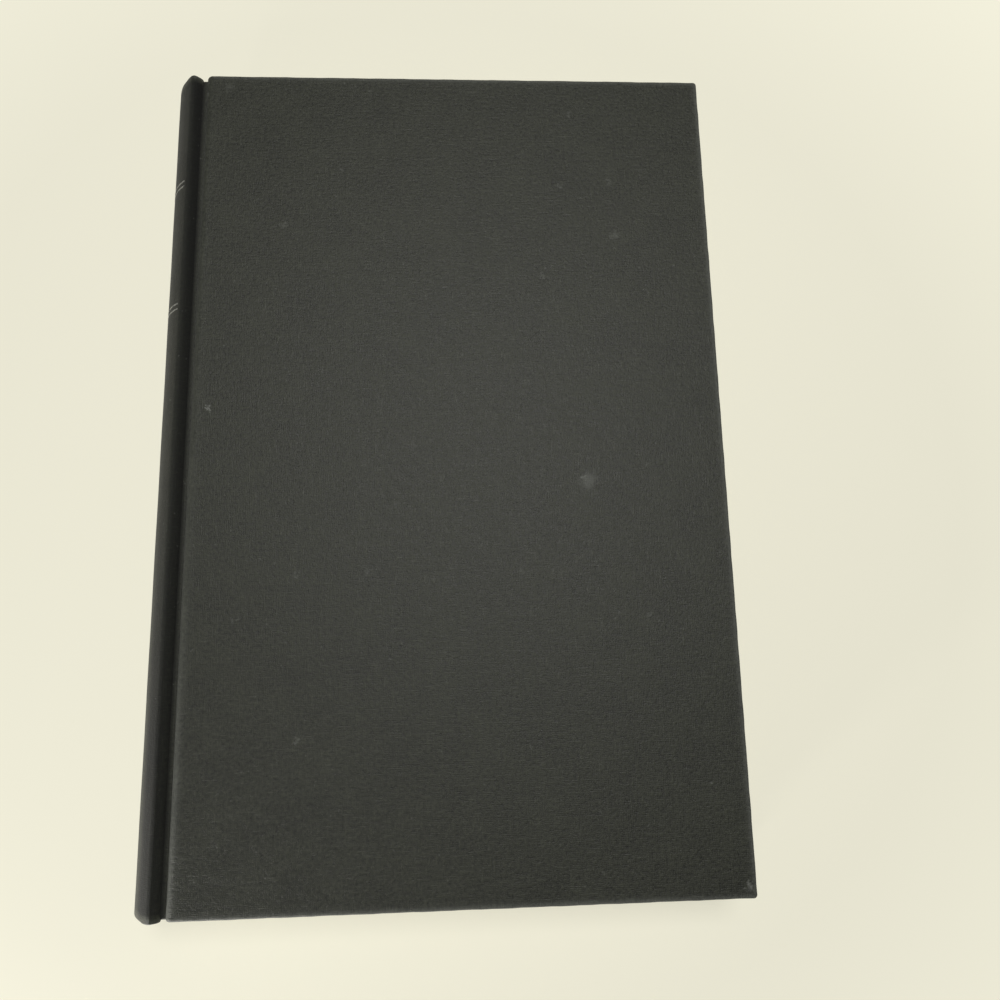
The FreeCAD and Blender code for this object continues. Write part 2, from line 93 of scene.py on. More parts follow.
board_low, board_high = box_mm("front_board")
cloth_high = box_mm("front_cloth")[1]
spine_low, spine_high = box_mm("spine_cloth")
block_low, block_high = box_mm("text_block")
leaf_low, leaf_high = box_mm("front_flyleaf")
paste_low = box_mm("front_pastedown")[0]

board_x = board_low[0]
middle = (cad_low.z + cad_high.z) / 2 / MM
board_width = board_high[0] - board_x
board_inside = board_low[2] - middle
board_outside = board_high[2] - middle
half_board = board_high[1]
cloth = cloth_high[2] - board_high[2]
cover_top = board_outside + cloth
half_cover = half_board + cloth
half_spine = spine_high[1]
half_leaf = block_high[1]
leaf_fore = block_high[0] - board_x
half_block = leaf_low[2] - middle
paper = leaf_high[2] - leaf_low[2]
print("board", round(board_width, 2), "by", round(2 * half_board, 2), "cloth", round(cloth, 2))

# %% [markdown]
# The round of the spine is a circle that meets a small circle at each shoulder. Its radius
# follows from how far the spine reaches out and how high the shoulders stand, just as the
# binder's shape follows from the swell of the sewing.

# %% Round of the spine
groove_width = 2.0
shoulder_radius = 1.95
reach = board_x - spine_low[0]
shoulder_x = -groove_width - shoulder_radius
shoulder_h = spine_high[2] - middle - shoulder_radius
inset = reach + shoulder_x
spine_radius = ((inset ** 2 + shoulder_h ** 2 - shoulder_radius ** 2)
                / (2 * (inset - shoulder_radius)))
arc_x = spine_radius - reach
round_angle = np.arctan2(shoulder_h, arc_x - shoulder_x)
back_radius = arc_x - (block_low[0] - board_x)
tip_h = block_high[2] - middle
tip_angle = np.arcsin(tip_h / back_radius)
print("spine radius", round(spine_radius, 3), "half angle", round(np.degrees(round_angle), 2))

# %% [markdown]
# # From grids of points to pieces
# Each surface is a function of two parameters, worked out on a whole grid at once. Modelling by
# hand would do for one book, but a grid keeps the shape tied to the sizes. Several grids can
# share their edges: they are put in one mesh and merged there, which closes seams and poles.

# %% Make a mesh
def to_world(points, side=1):
    """Book coordinates (x, y, h) in millimetres to the frame's metres; side -1 turns h over."""
    return np.stack([points[..., 0] + board_x, points[..., 1],
                     middle + side * points[..., 2]], -1) * MM


def grid_faces(rows, columns, first):
    """Four corners of each cell of a grid whose points are counted row by row."""
    corner = first + np.arange(rows - 1)[:, None] * columns + np.arange(columns - 1)
    return np.stack([corner, corner + columns, corner + columns + 1, corner + 1],
                    -1).reshape(-1, 4)


def make_piece(name, grids, facing=None, side=1, smooth=35):
    """One mesh from several grids. A grid is (points, flat), where flat gives each point's place
    on the unrolled material in millimetres. A third entry, where there is one, is a value per
    point that the cloth's finish reads: above 0 the cloth is paler, from rubbed wear and, along
    the board's spine edge, from a painted highlight; below 0 its colour is darkened as painted
    shade. Shared points are merged, and the faces are turned outwards, or towards facing on an
    open sheet."""
    places, flats, wear_and_painted_light_values, faces = [], [], [], []
    count = 0
    for grid in grids:
        points, flat = grid[0], grid[1]
        rows, columns = points.shape[:2]
        places.append(to_world(points, side).reshape(-1, 3))
        flats.append(np.broadcast_to(flat, (rows, columns, 2)).reshape(-1, 2) * MM)
        rim = grid[2] if len(grid) > 2 else 0.0
        wear_and_painted_light_values.append(np.broadcast_to(rim, (rows, columns)).reshape(-1))
        faces.append(grid_faces(rows, columns, count))
        count += rows * columns
    mesh = bpy.data.meshes.new(name)
    mesh.from_pydata(np.concatenate(places).tolist(), [], np.concatenate(faces).tolist())
    corner_vertex = np.zeros(len(mesh.loops), np.int32)
    mesh.loops.foreach_get("vertex_index", corner_vertex)
    unrolled = mesh.uv_layers.new(name="Unrolled")
    unrolled.uv.foreach_set("vector", np.concatenate(flats)[corner_vertex].ravel())
    attribute = mesh.attributes.new("rim", "FLOAT", "POINT")
    attribute.data.foreach_set("value", np.concatenate(wear_and_painted_light_values).astype(np.float32))
    work = bmesh.new()
    work.from_mesh(mesh)
    bmesh.ops.remove_doubles(work, verts=work.verts, dist=1e-6)
    bmesh.ops.dissolve_degenerate(work, edges=work.edges, dist=1e-7)
    bmesh.ops.recalc_face_normals(work, faces=work.faces)
    if facing is not None:
        total = sum((face.normal * face.calc_area() for face in work.faces), Vector())
        if total.dot(Vector(facing)) < 0:
            bmesh.ops.reverse_faces(work, faces=work.faces)
    work.to_mesh(mesh)
    work.free()
    mesh.shade_smooth()
    mesh.set_sharp_from_angle(angle=np.radians(smooth))
    piece = bpy.data.objects.new(name, mesh)
    bpy.context.scene.collection.objects.link(piece)
    return piece


def ease(value, start, width):
    """0 before start, 1 after it, and an S-curve in between."""
    part = np.clip((value - start) / width + 0.5, 0, 1)
    return part ** 2 * (3 - 2 * part)


def thicken(piece, thickness):
    """Gives an open sheet its thickness, inwards from the side that shows."""
    wall = piece.modifiers.new("thickness", "SOLIDIFY")
    wall.thickness = thickness * MM
    wall.offset = -1
    graph = bpy.context.evaluated_depsgraph_get()
    shown = piece.evaluated_get(graph)
    mesh = bpy.data.meshes.new_from_object(shown, preserve_all_data_layers=True, depsgraph=graph)
    piece.modifiers.clear()
    piece.data = mesh
    mesh.name = piece.name
    return piece


def describe(piece):
    """Prints the size of a piece, and whether its surface is closed and faces outwards."""
    work = bmesh.new()
    work.from_mesh(piece.data)
    loose = sum(not edge.is_manifold for edge in work.edges)
    volume = work.calc_volume(signed=True) * 1e6
    work.free()
    print(f"{piece.name}: {len(piece.data.polygons)} faces, {loose} open edges, "
          f"{volume:.2f} cubic cm")


def dress(piece, finish):
    """Gives a piece its finish, and prints its faces, open edges and volume."""
    piece.data.materials.clear()
    piece.data.materials.append(finish.material)
    describe(piece)
    return piece


# %% [markdown]
# # Writing a finish
# A finish in Blender is a tree of nodes. Placing nodes by hand is fine for one material, but the
# sums in it soon fill the screen. Here a socket is wrapped in a small class, so that a sum is
# written as a Python sum and adds its own nodes.

# %% Socket
class Socket:
    """An output of a node. Sums with other sockets or numbers add Math nodes."""

    def __init__(self, finish, link):
        self.finish = finish
        self.link = link

    def math(self, operation, first, second=0.0):
        """One Math node."""
        return self.finish.node("ShaderNodeMath", {"operation": operation}, {0: first, 1: second})

    def __add__(self, other):
        return self.math("ADD", self, other)

    def __radd__(self, other):
        return self.math("ADD", other, self)

    def __sub__(self, other):
        return self.math("SUBTRACT", self, other)

    def __rsub__(self, other):
        return self.math("SUBTRACT", other, self)

    def __mul__(self, other):
        return self.math("MULTIPLY", self, other)

    def __rmul__(self, other):
        return self.math("MULTIPLY", other, self)

    def __truediv__(self, other):
        return self.math("DIVIDE", self, other)

    def __rtruediv__(self, other):
        return self.math("DIVIDE", other, self)

    def __pow__(self, other):
        return self.math("POWER", self, other)

    def clamped(self):
        """This value, kept between 0 and 1."""
        return self.finish.node("ShaderNodeClamp", {}, {"Value": self})


# %% [markdown]
# A finish holds one material. Fixed numbers go straight to its shader, and every node comes from
# one method, node, which the other methods use for what the book needs often: noise, a mix of
# two colours, a distance or a bump.

# %% Finish
class Finish:
    """A material with one Principled shader. Fixed numbers go straight to the shader."""

    def __init__(self, name, **fixed):
        self.material = bpy.data.materials.new(name)
        self.material.use_nodes = True
        self.tree = self.material.node_tree
        self.shader = self.tree.nodes["Principled BSDF"]
        for key, value in fixed.items():
            self.shader.inputs[key.replace("_", " ")].default_value = value

    def put(self, socket, value):
        """Links a socket, or sets its value."""
        if isinstance(value, Socket):
            self.tree.links.new(value.link, socket)
        elif isinstance(value, tuple):
            socket.default_value = value[:len(socket.default_value)]
        else:
            socket.default_value = value

    def node(self, kind, settings, sockets, output=0):
        """Adds a node: its settings first, then the values or links of its sockets."""
        node = self.tree.nodes.new(kind)
        for key, value in settings.items():
            setattr(node, key, value)
        for key, value in sockets.items():
            self.put(node.inputs[key], value)
        return Socket(self, node.outputs[output])

    def set(self, name, value):
        """Feeds one input of the shader."""
        self.put(self.shader.inputs[name], value)

    def wave(self, value):
        """Sine of a value."""
        return self.node("ShaderNodeMath", {"operation": "SINE"}, {0: value})

    def size(self, value):
        """A value without its sign."""
        return self.node("ShaderNodeMath", {"operation": "ABSOLUTE"}, {0: value})

    def larger(self, first, second):
        """The larger of two values."""
        return self.node("ShaderNodeMath", {"operation": "MAXIMUM"}, {0: first, 1: second})

    def unrolled(self):
        """Place on the unrolled material, in millimetres, as two values."""
        flat = self.node("ShaderNodeUVMap", {"uv_map": "Unrolled"}, {})
        across, along, _ = self.parts(flat)
        return across * 1000, along * 1000

    def parts(self, vector):
        """The x, y and z of a vector, as three values."""
        split = self.node("ShaderNodeSeparateXYZ", {}, {0: vector})
        return [Socket(self, output) for output in split.link.node.outputs]

    def object_place(self):
        """Place in the frame, in metres."""
        return self.node("ShaderNodeTexCoord", {}, {}, "Object")

    def vector(self, x, y, z=0.0):
        """Three values as one vector."""
        return self.node("ShaderNodeCombineXYZ", {}, {0: x, 1: y, 2: z})

    def distance(self, place, centre):
        """How far a place lies from a fixed point."""
        return self.node("ShaderNodeVectorMath", {"operation": "DISTANCE"}, {
            0: place, 1: centre}, "Value")

    def noise(self, place, scale, detail=2.0, roughness=0.5):
        """Soft random pattern between 0 and 1."""
        return self.node("ShaderNodeTexNoise", {}, {
            "Vector": place, "Scale": scale, "Detail": detail, "Roughness": roughness})

    def attribute(self, name):
        """A value that the mesh carries."""
        return self.node("ShaderNodeAttribute", {"attribute_name": name}, {}, "Fac")

    def mix(self, factor, first, second):
        """Colour between first, at 0, and second, at 1."""
        return self.node("ShaderNodeMix", {"data_type": "RGBA"}, {
            0: factor, 6: first, 7: second}, 2)

    def dim(self, colour, factor):
        """A colour made lighter or darker by a factor."""
        return self.node("ShaderNodeVectorMath", {"operation": "SCALE"}, {
            0: colour, "Scale": factor})

    def bump(self, height, depth, strength=1.0):
        """Raises the surface by height, where 1 stands for depth in millimetres."""
        self.set("Normal", self.node("ShaderNodeBump", {}, {
            "Height": height, "Distance": depth * MM, "Strength": strength}))


def screen(red, green, blue):
    """Linear colour from the values, 0 to 255, that a screen shows."""
    value = np.array([red, green, blue]) / 255
    linear = np.where(value <= 0.04045, value / 12.92, ((value + 0.055) / 1.055) ** 2.4)
    return (*linear.tolist(), 1.0)


# %% [markdown]
# # Book cloth
# Book cloth is a plain weave of cotton, dyed, filled with starch and calendered. The threads are
# about 0.45 mm apart, some are thicker for a short way, and lint and rubbed spots show paler. The
# weave could be a picture, but two sine waves give it exactly: one set of threads rises where the
# other dips. It follows the unrolled cloth, so it runs round the boards' edges without a break.
# Handling has polished the cloth to a low gloss and rubbed its folds pale; along the boards'
# spine edges the pale band is partly a painted highlight. In the joint, the groove and over the
# spine the colour is darkened as painted shade, and the cloth there is left duller.

# %% Cloth finish
CLOTH_COLOUR = screen(46, 48, 38)
LINT_COLOUR = screen(116, 118, 112)
THREAD_PITCH = 0.45


def cloth_finish(name, rubs=()):
    """Woven cloth. A rub is a pale spot: x, y and radius in millimetres, and its strength. Two
    noises push and pull its place about, so that its outline is ragged."""
    finish = Finish(name, Sheen_Weight=0.05, Sheen_Roughness=0.5, Specular_IOR_Level=0.5)
    across, along = finish.unrolled()
    flat = finish.vector(across, along)
    drift = finish.noise(flat, 0.35, 1.0) * 1.2
    warp = finish.wave((across + drift) * (np.pi / THREAD_PITCH))
    weft = finish.wave((along + drift) * (np.pi / THREAD_PITCH))
    over = (0.5 + warp * weft * 1.5).clamped()
    weave = finish.size(warp) * over + finish.size(weft) * (1 - over)
    long_slub = finish.noise(finish.vector(across * 2.6, along * 0.22), 1.0, 1.0)
    wide_slub = finish.noise(finish.vector(across * 0.22, along * 2.6, 7.0), 1.0, 1.0)
    slubs = ((finish.larger(long_slub, wide_slub) - 0.56) * 5).clamped()
    speckle = finish.noise(flat, 1.1, 3.0, 0.75)
    mottle = finish.noise(flat, 0.08, 5.0, 0.7)
    # Below 0 the value darkens the colour as painted shade, in the groove, the joint and over the
    # spine; above 0 it pales the cloth, as rubbed wear and, along the board's spine edge, as a
    # painted highlight.
    rim = finish.attribute("rim")
    painted_shade = (0 - rim).clamped()
    tone = weave * 0.16 + slubs * 0.35 + speckle * 3.2 + mottle - 1.2
    colour = finish.dim(CLOTH_COLOUR, tone * (1 - painted_shade))
    lint = ((finish.noise(finish.vector(across, along, 3.0), 0.8, 2.0) - 0.7) * 6).clamped()
    pale = lint * 0.5
    pale = finish.larger(pale, rim * (speckle * 0.5 + mottle * 0.35))
    if rubs:
        push = (finish.noise(flat, 0.9, 2.0, 0.6) - 0.5) * 5
        pull = (finish.noise(finish.vector(across, along, 5.0), 0.7, 2.0, 0.6) - 0.5) * 5
        place = finish.vector(across + push, along + pull)
        crumbs = finish.noise(flat, 2.2, 3.0, 0.7)
        for x, y, radius, strength in rubs:
            away = finish.distance(place, (x, y, 0.0))
            spot = ((1 - away / radius) * 1.3).clamped()
            pale = finish.larger(pale, spot * (crumbs * 2.4 - 0.5) * strength)
    colour = finish.mix(pale.clamped(), colour, LINT_COLOUR)
    finish.set("Base Color", colour)
    finish.set("Roughness", 0.36 + speckle * 0.3 + mottle * 0.1 - slubs * 0.06
               + pale.clamped() * 0.2 + painted_shade * 0.45)
    finish.bump(weave * 0.55 + slubs * 0.5 + speckle * 2.8, 0.07, 0.8)
    return finish


# Where the photograph shows rubs and specks: x from the board's spine edge, y from
# the middle of its height
cover_rubs = [
    (110, -8, 3.4, 0.6),
    (109, -7, 1.3, 0.9),
    (121, 66, 1.7, 0.45),
    (99, 53, 1.1, 0.4),
    (5, 14, 0.8, 1.6),
    (109, 106, 1.0, 0.5),
    (105, 82, 1.0, 0.4),
    (120, 84, 1.0, 0.4),
    (30, -33, 1.0, 0.5),
    (49, -32, 0.9, 0.4),
    (91, -33, 0.9, 0.4),
    (125, -45, 1.1, 0.4),
    (31, -76, 1.1, 0.5),
    (14, -44, 1.0, 0.5),
    (24, 69, 1.1, 0.4),
    (0, 112, 1.1, 0.9),
    (7, 114, 1.8, 0.25),
    (147, -115, 1.6, 0.9),
]
front_cloth = cloth_finish("Charcoal cloth of the front cover", cover_rubs)
back_cloth = cloth_finish("Charcoal cloth of the back cover")
spine_finish = cloth_finish("Charcoal cloth of the spine")
print("cloth finishes:", front_cloth.material.name, back_cloth.material.name)

# %% [markdown]
# # The cloth round a board
# The binder glues the cloth over the board's outer face, folds it round the edges and turns
# 15 mm of it in at the head, tail and fore edge. At the spine it runs on along the floor of the
# groove. A solid box would lose the soft edges and the turn-ins, so the cloth is one sheet here
# too: loops round the cover, each a little further along the way from the middle of the outer
# face, down the side and under the board. Where the turn-ins meet, a mitre runs to each corner.

# %% Loops round a cover
corner_radius = 1.0
edge_radius = 0.7
spine_edge = 1.85 + cloth
fold_radius = 0.45
foot_radius = 0.1
wall_foot = board_inside + foot_radius
flat_margin = 5.0
side_length = edge_radius * (np.pi / 2 - 1) + cover_top - edge_radius - wall_foot
turn_in = 15.0
RIM = 1.2
along_tail = np.concatenate([[0, 0.0045], np.linspace(0.02, 0.985, 58), [0.9975, 1]])
along_fore = np.concatenate([[0, 0.0016], np.linspace(0.01, 0.99, 90), [0.9984, 1]])
quarter = np.linspace(0, np.pi / 2, 6)[1:-1]


def cover_loops(left, right, half_height, fore_radius, spine_corner):
    """Points of loops round the cover, one loop for each entry of the arguments: four straight
    sides and four quarter circles, from the tail end of the spine side and back to it. Also
    gives the outward direction at each point."""
    left, right, half_height, fore_radius, spine_corner = (
        np.asarray(v, float)[:, None] for v in np.broadcast_arrays(
            left, right, half_height, fore_radius, spine_corner))
    tail_x = left + spine_corner + along_tail * (right - fore_radius - left - spine_corner)
    fore_y = -half_height + fore_radius + along_fore * 2 * (half_height - fore_radius)
    spine_y = (half_height - spine_corner) - along_fore * 2 * (half_height - spine_corner)
    flat_tail = np.zeros_like(tail_x)
    flat_fore = np.zeros_like(fore_y)

    def arc(centre_x, centre_y, radius, start):
        angle = start + quarter
        return (centre_x + radius * np.cos(angle), centre_y + radius * np.sin(angle),
                np.cos(angle) + 0 * radius, np.sin(angle) + 0 * radius)

    parts = [
        (tail_x, -half_height + flat_tail, flat_tail, flat_tail - 1),
        arc(right - fore_radius, -half_height + fore_radius, fore_radius, -np.pi / 2),
        (right + flat_fore, fore_y, flat_fore + 1, flat_fore),
        arc(right - fore_radius, half_height - fore_radius, fore_radius, 0),
        (tail_x[:, ::-1], half_height + flat_tail, flat_tail, flat_tail + 1),
        arc(left + spine_corner, half_height - spine_corner, spine_corner, np.pi / 2),
        (left + flat_fore, spine_y, flat_fore - 1, flat_fore),
        arc(left + spine_corner, -half_height + spine_corner, spine_corner, np.pi),
        (left + spine_corner, -half_height, 0 * left, 0 * left - 1),
    ]
    return [np.concatenate(part, 1) for part in zip(*parts)]


three_sides = 2 * len(along_tail) + len(along_fore) + 2 * len(quarter)
print("points in a loop round the cover:", cover_loops([0], [10], [20], [1], [1])[0].shape[1])

# %% [markdown]
# The cloth's outer skin is worked out first. Glue leaves low waves in it, and its cut and folded
# edges are never quite straight, so both are sums of sine waves of the place itself. Points that
# two grids share then move alike, and the skin stays closed.

# %% Waves of the cloth
def unevenness(x, y):
    """Low waves of glued cloth, a few hundredths of a millimetre high."""
    return (0.022 * np.sin(x * 0.11 + 1.3 * np.sin(y * 0.043)) * np.sin(y * 0.083 + 0.4)
            + 0.014 * np.sin(x * 0.31 + y * 0.17) + 0.010 * np.sin(x * 0.23 - y * 0.37 + 2.0))


def waver(points):
    """Lets the cloth's outer edges stray a little from straight lines, by a sum of waves that
    fades out within RIM millimetres of the edge."""
    x, y = points[..., 0], points[..., 1]
    stray = 0.035 * np.sin(x * 0.9 + y * 0.53) + 0.03 * np.sin(x * 0.37 - y * 0.81 + 1.0)
    near_end = np.clip((abs(y) - half_cover) / RIM + 1, 0, 1)
    near_fore = np.clip((x - board_width - cloth) / RIM + 1, 0, 1)
    return points + np.stack([stray * near_fore, stray * near_end * np.sign(y), 0 * x], -1)


# %% [markdown]
# From the flat middle the loops go over the rounded edge and down the side. The board is rounded
# more at the spine, where the joint was pressed in, than at its other three edges.

# %% Over the edges and down the sides
def rounded_top(x):
    """Height of the outer face: level, with a quarter circle down at the spine side."""
    inside = np.clip(spine_edge - cloth - x, 0, spine_edge)
    return cover_top - spine_edge + np.sqrt(spine_edge ** 2 - inside ** 2)


def upper_grid():
    """Loops from the flat middle over the rounded edges and down the sides."""
    turn = np.linspace(0, np.pi / 2, 9)
    angle = np.concatenate([[0, 0, 0], turn, [np.pi / 2] * 3])[:, None]
    wall = np.concatenate([np.zeros(12), [1 / 3, 2 / 3, 1]])[:, None]
    flat_inset = np.array([flat_margin, 2.5, 1.4])
    spine_inset = np.concatenate([[flat_margin, 3.8, 2.8], spine_edge * (1 - np.sin(turn)), [0] * 3])
    side_inset = np.concatenate([flat_inset, edge_radius * (1 - np.sin(turn)), [0] * 3])
    spine_corner = np.concatenate([[0] * 3, np.linspace(0.2, 0.6, 9), [0.4, 0.2, 0]])
    x, y, out_x, out_y = cover_loops(
        spine_inset - cloth, board_width + cloth - side_inset, half_cover - side_inset,
        np.maximum(corner_radius - side_inset, 0), spine_corner)
    aside = np.where(out_x < 0, abs(out_y), 1.0)
    top = rounded_top(x)
    radius = np.minimum(edge_radius, 0.9 * (top - wall_foot))
    level = top - aside * radius * (1 - np.cos(angle))
    h = level + wall * (wall_foot - level) + unevenness(x, y) * np.cos(angle)
    side_used = np.where(angle > 0, edge_radius * (angle - 1), -side_inset[:, None])
    spine_used = np.where(angle > 0, spine_edge * (angle - 1), -spine_inset[:, None])
    used = (aside * (side_used + side_inset[:, None])
            + (1 - aside) * (spine_used + spine_inset[:, None]) + wall * (level - wall_foot))
    flat = np.stack([x + out_x * used, y + out_y * used], -1)
    # Paler along the rounded edges as rubbed wear. On the spine side the pale band is partly a
    # painted highlight, stronger towards the tail, and the wall down into the groove is darkened as
    # painted shade.
    rim = (aside * np.exp(-((side_used + 0.35) / 0.75) ** 2)
           + (1 - aside) * ((0.42 - 0.3 * y / half_cover)
                            * np.exp(-((spine_used + 0.9) / 1.5) ** 2)
                            - 0.15 * ease(spine_used, 0.8, 0.9)))
    return waver(np.stack([x, y, h], -1)), flat, rim


# %% [markdown]
# Below the side walls the cloth folds under the board, and a crease marks each mitred corner. On
# the spine side it has no turn-in: the strip on the floor of the groove takes over there. It is
# cut fine.

# %% Turn-ins, groove and flat middle
def turn_in_grid():
    """Loops round three sides, from the foot of the side walls to the hem under the board."""
    fold = np.linspace(0, np.pi / 2, 5)
    under = np.array([1.5, 4, 7, 10, 13, 14.6, turn_in + cloth])
    inset = np.concatenate([fold_radius * (1 - np.cos(fold)), under])
    h = np.concatenate([wall_foot - fold_radius * np.sin(fold),
                        np.full(len(under), wall_foot - fold_radius)])
    used = side_length + np.concatenate([fold_radius * fold,
                                         fold_radius * (np.pi / 2 - 1) + under])
    x, y, out_x, out_y = cover_loops(0 * inset - cloth, board_width + cloth - inset,
                                     half_cover - inset,
                                     np.maximum(corner_radius - inset, 0), [0.0])
    x, y, out_x, out_y = (v[:, 1:three_sides - 1] for v in (x, y, out_x, out_y))
    at_fore = abs(x - (board_width + cloth - inset[:, None])) < 0.02
    at_end = abs(abs(y) - (half_cover - inset[:, None])) < 0.02
    step = np.arange(len(inset))[:, None]
    crease = 0.12 * (at_fore & at_end & (step > 5))
    points = np.stack([x, y, h[:, None] + crease], -1)
    reach_out = (used + inset)[:, None]
    flat = np.stack([x + out_x * reach_out, y + out_y * reach_out], -1)
    return waver(points), flat, 0.5 * np.exp(-((step - 2) / 3.0) ** 2) + 0 * x


def groove_strip_grid():
    """The strip on the floor of the groove, cut fine."""
    sweep = np.linspace(0, np.pi / 2, 5)[1:]
    level_x = np.linspace(-cloth - foot_radius, -groove_width, 27)[1:]
    x = np.concatenate([[-cloth], -cloth - foot_radius * (1 - np.cos(sweep)), level_x])
    h = np.concatenate([[wall_foot], wall_foot - foot_radius * np.sin(sweep),
                        np.full(len(level_x), board_inside)])
    x, y = np.meshgrid(x, half_cover - along_fore * 2 * half_cover, indexing="ij")
    points = waver(np.stack([x, y, h[:, None] + 0 * x], -1))
    # Painted shade: the strip's colour is darkened, more towards the spine.
    return points, np.stack([x - side_length, y], -1), -0.15 - 0.55 * ease(-x, 1.4, 1.3)


def face_grid():
    """The flat middle of the outer face."""
    x = flat_margin - cloth + along_tail * (board_width + 2 * cloth - 2 * flat_margin)
    y = (2 * along_fore - 1) * (half_cover - flat_margin)
    x, y = np.meshgrid(x, y, indexing="ij")
    return np.stack([x, y, cover_top + unevenness(x, y)], -1), np.stack([x, y], -1)


# %% [markdown]
# The four grids become one mesh, and Solidify gives it its thickness. The cut size is what a
# binder would cut: joint, board, side and turn-in one way, and the board with two sides and two
# turn-ins the other way.

# %% Both covers
def make_cover(name, side, finish, node):
    """The cloth of one cover: side is 1 for the front and -1 for the back."""
    grids = [face_grid(), upper_grid(), turn_in_grid(), groove_strip_grid()]
    piece = make_piece(name, grids, facing=(0, 0, side), side=side)
    thicken(piece, cloth)
    dress(piece, finish)
    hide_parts(node)
    (board_x - groove_width) * MM
    (board_x - cloth) * MM
    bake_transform(piece)
    cut = (board_width + groove_width + side_length + turn_in + 2 * cloth,
           2 * (half_board + side_length + turn_in + cloth))
    cut[0] * MM
    cut[1] * MM
    print(f"{name} is cut {cut[0]:.1f} by {cut[1]:.1f} mm")
    return piece


make_cover("front_cloth_wrap", 1, front_cloth, "front_cloth")
make_cover("back_cloth_wrap", -1, back_cloth, "back_cloth")

# %% [markdown]
# # The cloth of the spine
# From groove to groove the cloth climbs over one shoulder, goes round the back and down over the
# other shoulder. At the head and tail it is folded in over the card, which makes a soft, thick
# edge. The way round is a path of straight and round runs, and the fold is a profile from hem to
# hem carried along it.

# %% Path round the spine
SLOPE = 1.45


def spine_path():
    """Points and outward directions of the path: up the groove's wall, over the shoulder,
    round the spine's circle, and the same again mirrored. The shoulder is a circle whose groove
    side is drawn flatter, by a power of its cosine and sine."""
    wall_h = np.array([board_inside - cloth, board_inside - 0.15])
    groove_side = np.linspace(0, np.pi / 2, 15)
    far_side = np.linspace(np.pi / 2, np.pi - round_angle, 8)[1:]
    turn = np.linspace(np.pi - round_angle, np.pi, 22)[1:]
    x = np.concatenate([np.full(2, -groove_width),
                        shoulder_x + shoulder_radius * np.cos(groove_side) ** SLOPE,
                        shoulder_x + shoulder_radius * np.cos(far_side),
                        arc_x + spine_radius * np.cos(turn)])
    h = np.concatenate([wall_h, shoulder_h + shoulder_radius * np.sin(groove_side) ** SLOPE,
                        shoulder_h + shoulder_radius * np.sin(far_side),
                        spine_radius * np.sin(turn)])
    x = np.concatenate([x, x[-2::-1]])
    h = np.concatenate([h, -h[-2::-1]])
    steps = np.hypot(np.diff(x), np.diff(h))
    walked = np.concatenate([[0], np.cumsum(steps)])
    along_x, along_h = np.gradient(x, walked), np.gradient(h, walked)
    length = np.hypot(along_x, along_h)
    return x, h, along_h / length, -along_x / length, walked - walked[-1] / 2


def spine_grid():
    """The hem-to-hem profile at each point of the path. Its depth and the length of its turn-in
    are full over the card, and small at the shoulders, where the leaves fill the room."""
    x, h, out_x, out_h, walked = spine_path()
    over_card = np.clip((round_angle * spine_radius - 1.0 - abs(walked)) / 1.5, 0, 1)
    over_card = over_card ** 2 * (3 - 2 * over_card)
    fold = 0.36 + 0.29 * over_card
    depth = 3.4 + 11.6 * over_card
    outer = np.linspace(0, 1, 60)[1:]
    turn = np.linspace(np.pi / 2, -np.pi / 2, 9)[1:]
    inner = np.linspace(0, 1, 9)[1:]
    fold, depth = fold[:, None], depth[:, None]
    end = half_spine - fold
    y = np.concatenate([end * outer, end + fold * np.cos(turn), end - inner * (depth - fold)], 1)
    sink = np.concatenate([0 * (end * outer), fold * (1 - np.sin(turn)), 2 * fold + 0 * inner], 1)
    used = np.concatenate([end * outer, end + fold * (np.pi / 2 - turn),
                           end + fold * np.pi + inner * (depth - fold)], 1)
    zero = 0 * fold
    y = np.concatenate([-y[:, ::-1], zero, y], 1)
    sink = np.concatenate([sink[:, ::-1], zero, sink], 1)
    used = np.concatenate([-used[:, ::-1], zero, used], 1)
    ripple = 0.03 * np.sin(y * 0.19 + walked[:, None] * 0.4) * np.sin(walked[:, None] * 0.25 + 1)
    stray = 0.05 * np.sin(walked[:, None] * 1.1 + np.sign(y)) * (abs(y) > half_spine - 3)
    off = ripple * (sink == 0) - sink
    points = np.stack([x[:, None] + off * out_x[:, None], y + stray * np.sign(y),
                       h[:, None] + off * out_h[:, None]], -1)
    flat = np.stack([walked[:, None] + 0 * y, used], -1)
    # Painted shade: the spine's colour is darkened all over, more towards the head, on the groove
    # side of each shoulder and, near the tail, on the flank; its folded ends are paler, as rubbed
    # wear.
    near_end = np.exp(-((abs(used) - half_spine) / 1.0) ** 2)
    to_joint = walked[-1] - abs(walked[:, None])
    to_tail = np.clip(-1.5 * y / half_spine, 0, 1)
    shoulder = ease(-to_joint, -3.8, 3.9)
    flank = ease(-to_joint, -9.0, 4.0) * (1 - shoulder)
    painted_shade = 0.32 + 0.14 * y / half_spine + 0.4 * shoulder + 0.62 * to_tail * flank
    return points, flat, 0.8 * near_end - painted_shade * (1 - near_end)


spine = make_piece("spine_cloth_wrap", [spine_grid()], facing=(-1, 0, 0))
thicken(spine, cloth)
dress(spine, spine_finish)
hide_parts("spine_cloth")
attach(spine, "text_block")
way_round = 2 * spine_path()[-1][-1]
spine_cut = (way_round * MM, 2 * (half_spine + turn_in) * MM)
print("spine cloth is cut", round(spine_cut[0] / MM, 1), "by", round(spine_cut[1] / MM, 1), "mm")

# %% [markdown]
# # Silver rules
# Two pairs of thin lines are stamped across the spine near the head. A hot tool presses silver
# foil into the cloth, and handling wears it off the high threads. Each rule is a thin band laid
# on the round, and its finish lets the cloth's colour through where the foil has gone.

# %% Rules
rule_width = 0.45
rule_thickness = 0.05
rule_angle = round_angle - 0.5 / spine_radius
rules_from_head = (34.0, 35.6, 72.4, 74.0)


